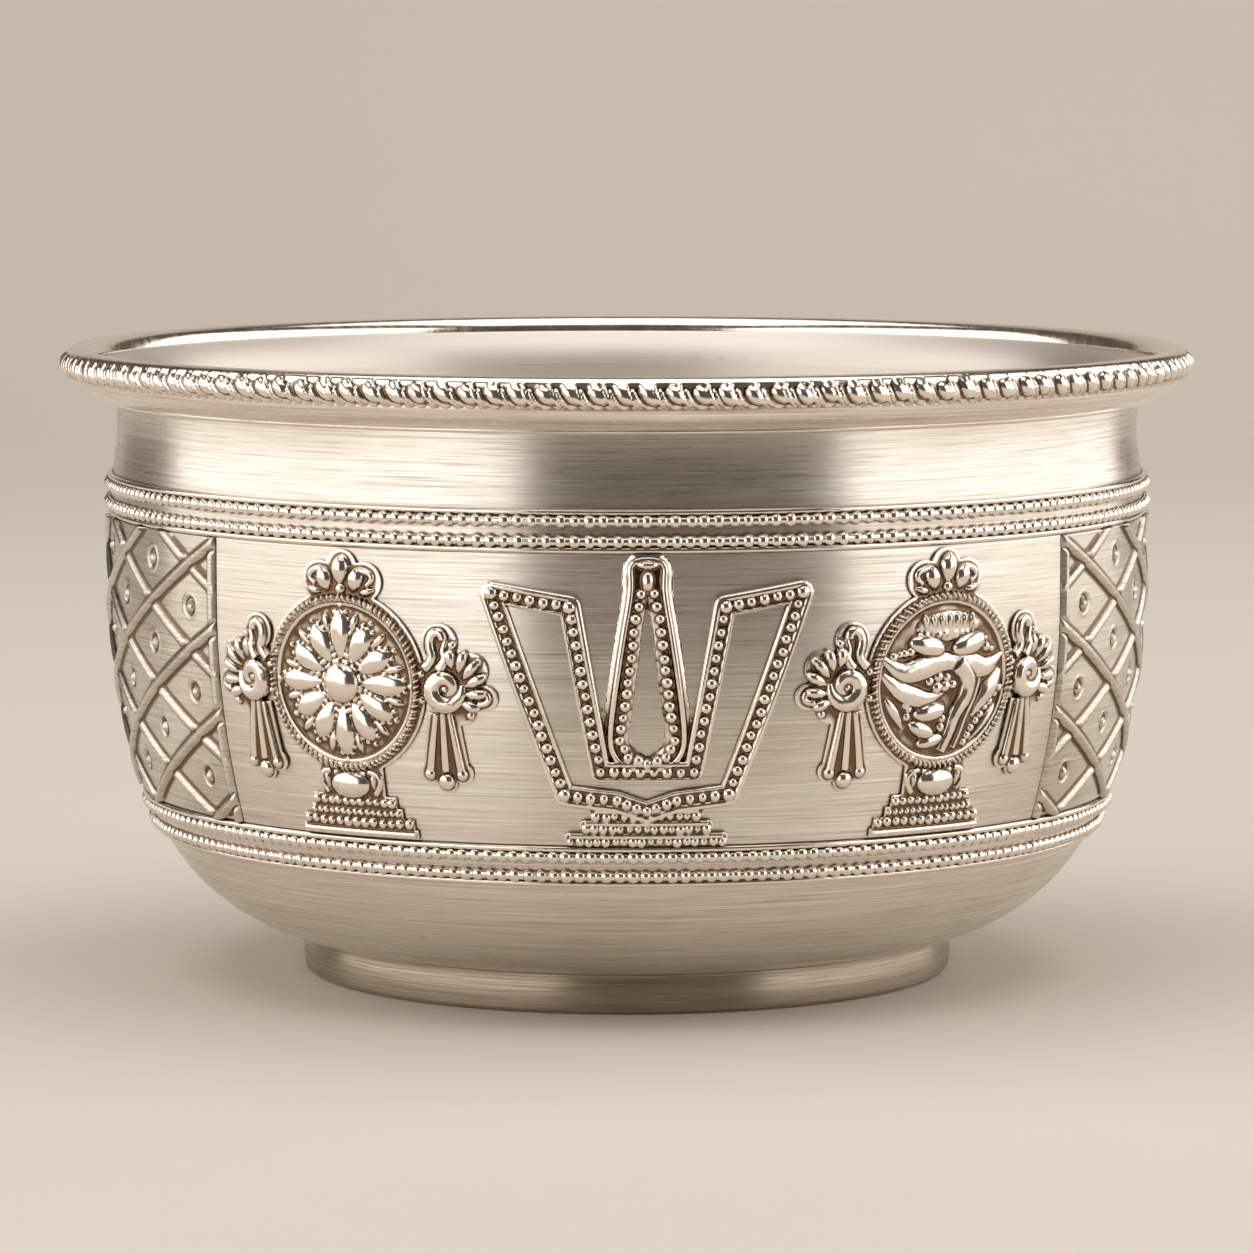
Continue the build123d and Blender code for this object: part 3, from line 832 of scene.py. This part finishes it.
def stud(x, y):
    """A pearl at one side of a round hollow."""
    distance = np.hypot(x, y)
    hollow = -STUD_HOLLOW * half_round(distance, STUD_RADIUS)
    pearl_x, pearl_y = STUD_PEARL_PLACE
    pearl = STUD_PEARL * half_round(np.hypot(x - pearl_x, y - pearl_y), STUD_PEARL)
    edge = STUD_EDGE * np.exp(-((distance - STUD_RADIUS) / STUD_EDGE_WIDTH) ** 2)
    return edge + np.where(pearl > 0, np.maximum(hollow, pearl - STUD_PEARL_SINK), hollow)


right_lattice = lay_on_wall(lattice_panel("right_lattice", -1), radians(90), 0, 0)
left_lattice = lay_on_wall(lattice_panel("left_lattice", 1), radians(-90), 0, 0)
for panel, node in ((right_lattice, "right_lattice_panel"), (left_lattice, "left_lattice_panel")):
    coat(panel, lattice_silver)
    fit(panel, node)


# Struck ornaments: forms shared by the wheel and the conch


def ring_band():
    """Sheet, inner lip and ticked ring of a medallion."""
    forms = [disc(0, 0, RING_EDGE), hoop(RING_LIP, 0.22), hoop(RING_RADIUS, 0.34)]
    twist = dome(0, 0.1, 0.17, 0.42, 0.66, 0.45)
    for number in range(ROPE_TURNS):
        turn = Matrix.Rotation((number + chance.uniform(-0.2, 0.2)) / ROPE_TURNS * tau, 4, "Z")
        forms.append(copied(twist, turn @ Matrix.Translation((0, RING_RADIUS, 0))))
    bpy.data.objects.remove(twist)
    return forms


def crest():
    """Two curled leaves beside a bud, with a pearl at its foot."""
    forms = [disc(0, CREST_TOP - 1.6, 1.6), disc(-2.25, 8.6, 1.7), disc(2.25, 8.6, 1.7)]
    forms.append(bar(0, 7.9, 2.4, 0.9))
    for side in (-1, 1):
        forms.append(leaf((side * 1.2, 7.7), (side * 1.9, 9.9), 0.85, 0.75, 0.8))
        forms.append(cord(mirrored([(1.9, 9.6), (2.9, 9.5), (3.2, 8.7), (2.5, 8.3)], side), 0.36, tip=0.6))
        forms.append(leaf((side * 3.4, 8.0), (side * 1.9, 7.6), 0.4, 0.5, 0.7))
    forms.append(leaf((0, 8.2), (0.1, 10.9), 0.95, 0.9, 0.7))
    forms.append(cord([(0.1, 10.7), (0.8, 10.5), (0.9, 9.8)], 0.28, tip=0.6))
    return forms + pearls([(0.05, 7.95)], 0.5)


def wing(side):
    """A volute with a flame above it, leaflets round it and a pointed tip."""
    lobes = ((9.2, 3.8, 1.6), (9.7, 0.4, 2.2), (12.0, 1.5, 1.5), (11.0, -1.9, 1.3), (13.2, -0.8, 1.1))
    forms = [disc(side * x, y, radius) for x, y, radius in lobes]
    forms += curl(side * 9.7, -0.1, 1.6, 0.85, 0.25, -side, radians(90 - side * 75), 1.3)
    flame = [(7.9, 1.6), (8.8, 2.3), (8.3, 3.5), (8.6, 4.6), (9.5, 4.7), (9.6, 4.0)]
    forms.append(cord(mirrored(flame, side), 0.58, root=0.8, tip=0.7))
    forms.append(cord(mirrored([(9.2, 1.5), (9.9, 2.3), (9.5, 3.2), (9.9, 4.0)], side), 0.5, tip=0.5))
    middle = Vector((9.8, 0.0))
    for angle, length in ((70, 1.2), (48, 1.5), (26, 1.6), (4, 1.6), (-20, 1.5), (-45, 1.3)):
        ray = Vector((cos(radians(angle)), sin(radians(angle))))
        bent = Vector((cos(radians(angle + 14)), sin(radians(angle + 14))))
        root = middle + 1.6 * ray
        tip = middle + (2.2 + length) * bent
        forms.append(leaf((side * root.x, root.y), (side * tip.x, tip.y), 0.62, 0.7, 0.6))
    beads = [(7.6, 1.1), (7.55, -1.1), (10.4, 3.6), (12.6, 2.2), (11.9, -2.3)]
    forms += pearls(mirrored(beads, side), 0.38)
    hook = [(12.6, -1.3), (13.3, -1.3), (13.6, -0.7), (13.2, -0.3)]
    forms.append(cord(mirrored(hook, side), 0.32, tip=0.7))
    return forms


def tassel(side):
    """Three ribs that flare from under the wing, with balls at the end."""
    middle = side * 9.4
    forms = [disc(middle + shift, y, 0.95) for shift, y in ((-1.5, -7.3), (1.5, -7.3), (0, -8.1))]
    for number in (-1, 0, 1):
        root, tip = middle + 0.62 * number, middle + 1.4 * number
        forms.append(bar((root + tip) / 2, -4.8, 0.75, 2.6, atan2(tip - root, 5)))
        forms.append(cord([(root, -2.2), (tip, -7.1)], 0.32, root=0.85, tip=1.25))
    forms += pearls([(middle - 1.45, -7.4), (middle + 1.45, -7.4)], 0.52)
    return forms + pearls([(middle, -8.0)], 0.75, 0.8)


def stand():
    """A round cup with two looped handles on a stepped, beaded stand."""
    forms = [bar(0, -8.5, 3.3, 1.3), dome(0, -8.7, 2.0, 1.25, 0.95)]
    for side in (-1, 1):
        loop = [(1.9, -7.6), (2.9, -7.7), (3.1, -8.7), (2.4, -9.5)]
        forms.append(cord(mirrored(loop, side), 0.3))
        forms.append(leaf((side * 2.3, -9.2), (side * 2.4, -7.7), 0.4, 0.5))
        forms.append(cord(mirrored([(0.1, -7.9), (0.9, -7.5), (1.6, -7.8)], side), 0.25))
    for half_width, top, foot in STAND_STEPS:
        forms.append(bar(0, (top + foot) / 2, half_width, (top - foot) / 2))
    forms += pearls(spaced((-3.9, -10.2), (3.9, -10.2), 0.8), 0.4, wobble=0.12)
    forms += pearls(spaced((-4.4, -11.15), (4.4, -11.15), 0.62), 0.3, wobble=0.12)
    forms += pearls(spaced((-5.35, -12.0), (5.35, -12.0), 0.9), 0.44, wobble=0.12)
    forms.append(cord([(-5.9, -12.9), (5.9, -12.9)], 0.3))
    return forms


def medallion():
    """Everything round the wheel or the conch."""
    return ring_band() + crest() + wing(-1) + wing(1) + tassel(-1) + tassel(1) + stand()


def petal_edge(share):
    """Half width of a petal's milled edge at a share of the way from its root to its tip."""
    if share == 1:
        return 0
    return PETAL_EDGE_HALF_WIDTH * sin(pi * (0.12 + 0.88 * share)) ** 0.7 * (0.55 + 0.45 * share)


def wheel():
    """A hub dome in twelve petals with milled edges; the upright and level ones are pointed."""
    forms = medallion() + [dome(0, 0, HUB_RADIUS, HUB_RADIUS, 1.1)]
    for number in range(PETALS):
        angle = number / PETALS * tau
        pointed = number % 3 == 0
        reach = PETAL_TO + (PETAL_POINT if pointed else 0)
        outward = Vector((sin(angle), cos(angle)))
        across = Vector((outward.y, -outward.x))
        forms.append(leaf(PETAL_FROM * outward, reach * outward, PETAL_HALF_WIDTH, 0.8, 0.55))
        edge = []
        for step in range(-PETAL_EDGE_STEPS, PETAL_EDGE_STEPS + 1):
            share = 1 - abs(step) / PETAL_EDGE_STEPS
            along = PETAL_FROM + share * (reach + PETAL_EDGE - PETAL_FROM)
            edge.append(tuple(along * outward + copysign(petal_edge(share), step) * across))
        forms += pearls(edge, 0.26, wobble=0.15)
        gap = Vector((sin(angle + pi / PETALS), cos(angle + pi / PETALS)))
        forms.append(leaf(3.9 * gap, 6.1 * gap, 0.5, 0.5, 0.3))
    return struck(forms, "front_wheel")


def conch():
    """A conch shell: a ribbed cap over waves of ribbon, and a tail that curls to the foot of the ring."""
    forms = medallion()
    forms.append(dome(0.2, 4.6, 3.4, 1.3, 0.3))
    forms += pearls(spaced((-2.8, 3.9), (2.8, 4.0), 0.62), 0.36, wobble=0.2)
    for number in range(-3, 4):
        forms.append(leaf((0.2 + 0.75 * number, 4.2), (0.2 + 0.85 * number, 5.8), 0.38, 0.6))
    forms.append(dome(-2.0, 3.0, 0.95, 1.9, 0.85, radians(76)))
    forms.append(dome(2.4, 3.0, 1.0, 1.9, 0.9, radians(108)))
    forms += pearls(spaced((-5.4, 2.3), (-3.6, 2.6), 0.62), 0.36, wobble=0.2)
    forms += pearls([(4.2, 3.4), (4.3, 2.6), (5.0, 2.4)], 0.38, wobble=0.2)
    forms.append(ribbon([(-6.3, 2.1), (-4.8, 0.8), (-3.0, 1.0), (-1.0, 1.7), (0.9, 1.5), (2.4, 0.4)], 1.15))
    forms.append(ribbon([(0.3, 1.9), (1.8, 1.9), (3.3, 0.9), (4.8, 0.9), (6.4, 2.0)], 1.15))
    forms.append(ribbon([(-6.4, 0.8), (-5.0, -0.5), (-3.4, -1.2), (-1.8, -1.6), (-0.1, -1.1)], 1.0))
    cluster = [(-1.6, 0.0), (-0.7, 0.3), (0.2, 0.3), (0.8, -0.4), (0.0, -0.5), (-0.8, -0.5)]
    forms += pearls(cluster, 0.46, wobble=0.2)
    tail = [(1.2, 1.4), (2.5, 0.4), (2.4, -1.4), (1.2, -2.9), (0.9, -4.4), (0.1, -6.1)]
    forms.append(cord(tail, 0.98, tip=0.5, rise=0.85))
    forms.append(cord([(3.7, 0.1), (3.4, -1.5), (2.4, -3.2), (2.0, -4.6), (1.4, -5.9)], 0.3))
    forms.append(dome(-1.5, -2.6, 0.85, 1.7, 0.8, radians(98)))
    forms.append(dome(-2.2, -4.1, 0.7, 1.5, 0.7, radians(66)))
    forms.append(dome(-1.2, -5.1, 0.6, 1.4, 0.65, radians(102)))
    forms += pearls([(-3.6, -2.2), (-3.7, -3.0), (-0.1, -3.3), (-0.2, -4.0), (-3.9, -1.9)], 0.4, wobble=0.2)
    forms.append(leaf((-4.0, -4.0), (-6.0, -1.2), 0.6, 0.5))
    forms.append(ribbon([(6.1, 0.6), (5.3, -0.6), (4.3, -1.7), (3.3, -3.3)], 1.0))
    hem = [(6.2, -1.0), (5.2, -2.1), (4.2, -3.2), (3.3, -4.3), (2.6, -5.5)]
    forms += pearls(spaced_along(hem, 0.62), 0.34, wobble=0.15)
    forms.append(leaf((3.2, -5.5), (5.9, -2.4), 0.5, 0.5))
    return struck(forms, "front_conch")


# Vertical mark

MARK_HALF = [(0, -10.3), (2.6, -9.4), (7.1, -8.9), (13.1, 8.1), (6.5, 7.0), (4.0, -6.9)]
MARK_HALF_STRIP = 0.88    # from the middle of the strip to its edge
MARK_BEAD = 0.46
CORNER_STEPS = 4          # divisions of a rounded corner
DROP_HALF = [
    (0.8, 11.0), (1.5, 10.4), (1.35, 9.0), (1.5, 7.4), (1.95, 5.0),
    (2.7, 0.0), (3.2, -3.9), (2.9, -5.6), (1.6, -6.7),
]
DROP_BEADS = [(0.5, 8.1), (1.05, 6.0), (1.35, 2.7), (1.9, -1.3), (2.35, -4.2), (1.6, -5.7), (0, -6.2)]


def offset_loop(points, distance):
    """A closed line of points moved to its right, with round corners where it turns away from that side."""
    moved = []
    for number, corner in enumerate(points):
        here = Vector(corner)
        before = (here - Vector(points[number - 1])).normalized()
        after = (Vector(points[(number + 1) % len(points)]) - here).normalized()
        first = Vector((before.y, -before.x)) * distance
        second = Vector((after.y, -after.x)) * distance
        if first.dot(after) < 0:
            for step in range(CORNER_STEPS + 1):
                outward = first.lerp(second, step / CORNER_STEPS).normalized()
                moved.append(tuple(here + outward * abs(distance)))
        else:
            middle = (first + second).normalized()
            moved.append(tuple(here + middle * distance ** 2 / middle.dot(first)))
    return moved


def mark():
    """A U of beaded strip between smooth edges, with a beaded drop in it, on a stepped stand."""
    loop = MARK_HALF + [(-x, y) for x, y in reversed(MARK_HALF[1:])]
    closed = loop + loop[:1]
    forms = []
    for (x0, y0), (x1, y1) in zip(closed, closed[1:]):
        length = hypot(x1 - x0, y1 - y0)
        forms.append(bar((x0 + x1) / 2, (y0 + y1) / 2, length / 2, MARK_HALF_STRIP, atan2(y1 - y0, x1 - x0)))
        forms.append(disc(x0, y0, MARK_HALF_STRIP))
    for side, wire in ((1, 0.34), (-1, 0.18)):
        line = offset_loop(loop, side * (MARK_HALF_STRIP - 0.2))
        forms.append(cord(line, wire, closed=True, straight=True))
    forms += pearls(spaced_along(closed, 1.08)[:-1], MARK_BEAD, wobble=0.12)
    forms += pearls(mirrored(MARK_HALF[2:5], 1) + mirrored(MARK_HALF[2:5], -1), 0.6)
    return struck(forms + drop() + mark_stand(), "front_mark")


def drop():
    """A drop of beads inside a smooth edge, with a knob at its top."""
    outline = DROP_HALF + [(-x, y) for x, y in reversed(DROP_HALF)]
    forms = [cord(outline, 0.26, closed=True)]
    for side in (-1, 1):
        column = mirrored(DROP_BEADS, side)
        forms += pearls(spaced_along(column, 1.0), 0.44, wobble=0.12)
        forms.append(cord(column, 0.75, lift=-0.5))
        forms.append(cord(mirrored(DROP_HALF, side), 0.75, lift=-0.5))
    forms.append(dome(0, 10.55, 0.95, 0.4, 0.55))
    forms.append(dome(0, 9.2, 0.55, 0.9, 0.6))
    forms.append(bar(0, 9.6, 1.3, 1.3))
    return forms


def mark_stand():
    """Three steps with rounded ends, each with a smooth edge over a row of small beads."""
    forms = []
    for half_width, top in MARK_STEPS:
        forms.append(bar(0, top - MARK_STEP_DEPTH / 2, half_width, MARK_STEP_DEPTH / 2))
        forms += [disc(side * half_width, top - 0.5, 0.5) for side in (-1, 1)]
        forms.append(cord([(-half_width, top - 0.25), (half_width, top - 0.25)], 0.28))
        row = spaced((0.1 - half_width, top - 0.75), (half_width - 0.1, top - 0.75), 0.78)
        forms += pearls(row, 0.4, wobble=0.2)
    return forms


for motif, azimuth in ((wheel, -ring_azimuth), (mark, 0), (conch, ring_azimuth)):
    subject = motif.__name__
    near = lay_on_wall(motif(), azimuth, ring_height)
    coat(near, polished)
    far = half_turned(near, "back_" + subject)
    fit(near, "front_" + subject + "_ornament")
    fit(far, "back_" + subject + "_ornament")


# Studio, in metres: a pale table with a sweep behind it, lamps at both sides and above, and a dim room

TABLE_FRONT = -0.16
TABLE_HALF_WIDTH = 0.45
SWEEP_START = 0.6
SWEEP_CURVE = 0.5
SWEEP_RUN = 2.0
FLOOR = (0.76, 0.7, 0.63)
FLOOR_DARK = (0.74, 0.68, 0.61)
FLOOR_LIGHT = (0.78, 0.72, 0.65)
ROOM = (0.1, 0.085, 0.07)
LAMP_COLOR = (1.0, 0.975, 0.945)
LAMP_BRIGHTNESS = 1.6     # times white


def studio_floor():
    """A pale table top that sweeps up behind the bowl."""
    deselect()
    bpy.ops.mesh.primitive_grid_add(x_subdivisions=4, y_subdivisions=64, size=1)
    sweep = bpy.context.object
    run = SWEEP_RUN - TABLE_FRONT
    for vertex in sweep.data.vertices:
        vertex.co.x *= 2 * TABLE_HALF_WIDTH
        vertex.co.y = TABLE_FRONT + (vertex.co.y + 0.5) * run
        beyond = vertex.co.y - SWEEP_START
        if beyond > 0:
            angle = min(beyond / SWEEP_CURVE, pi / 2)
            vertex.co.y = SWEEP_START + SWEEP_CURVE * sin(angle)
            vertex.co.z = SWEEP_CURVE * (1 - cos(angle)) + max(0, beyond - SWEEP_CURVE * pi / 2)
    bpy.ops.object.shade_smooth()
    sweep.name = "studio_floor"
    material, tree, shader = new_finish("pale_floor", FLOOR, 0.75, 0)
    shader.inputs["Specular IOR Level"].default_value = 0.2
    cloud = grain(tree, 300, 300)
    tree.links.new(blended(tree, cloud, FLOOR_DARK, FLOOR_LIGHT), shader.inputs["Base Color"])
    coat(sweep, material)


def softbox(name, place, aim, width, height):
    """A soft lamp of a width and height, aimed at a point."""
    lamp = bpy.data.lights.new(name, "AREA")
    lamp.shape = "RECTANGLE"
    lamp.size = width
    lamp.size_y = height
    lamp.energy = LAMP_BRIGHTNESS * pi * width * height
    lamp.color = LAMP_COLOR
    holder = bpy.data.objects.new(name, lamp)
    bpy.context.scene.collection.objects.link(holder)
    holder.location = place
    holder.rotation_euler = (Vector(aim) - Vector(place)).to_track_quat("-Z", "Y").to_euler()


studio_floor()
softbox("left_lamp", (-0.7, -0.55, 0.2), (0, -0.55, 0.2), 1.9, 1.1)
softbox("right_lamp", (0.7, 0.0, 0.2), (0, 0.0, 0.2), 1.4, 1.1)
softbox("top_lamp", (0.0, -0.1, 1.1), (0, -0.1, 0), 1.2, 1.4)

world = bpy.data.worlds.new("dim_room")
world.use_nodes = True
world.node_tree.nodes["Background"].inputs["Color"].default_value = (*ROOM, 1)
bpy.context.scene.world = world

# Camera at the photograph's place: a long lens, a little above the rim
CAMERA_DISTANCE = 0.548
CAMERA_HEIGHT = 0.0869
CAMERA_AZIMUTH = radians(-2.1)
CAMERA_PITCH = radians(5.844)
SENSOR_WIDTH = 36         # in millimetres, like LENS
LENS = 173.97
view = bpy.data.cameras.new("camera")
view.sensor_width = SENSOR_WIDTH
view.lens = LENS
camera = bpy.data.objects.new("camera", view)
bpy.context.scene.collection.objects.link(camera)
camera.location = (
    CAMERA_DISTANCE * sin(CAMERA_AZIMUTH), -CAMERA_DISTANCE * cos(CAMERA_AZIMUTH), CAMERA_HEIGHT,
)
camera.rotation_euler = (pi / 2 - CAMERA_PITCH, 0, CAMERA_AZIMUTH)
bpy.context.scene.camera = camera
bpy.context.scene.view_settings.view_transform = "Standard"
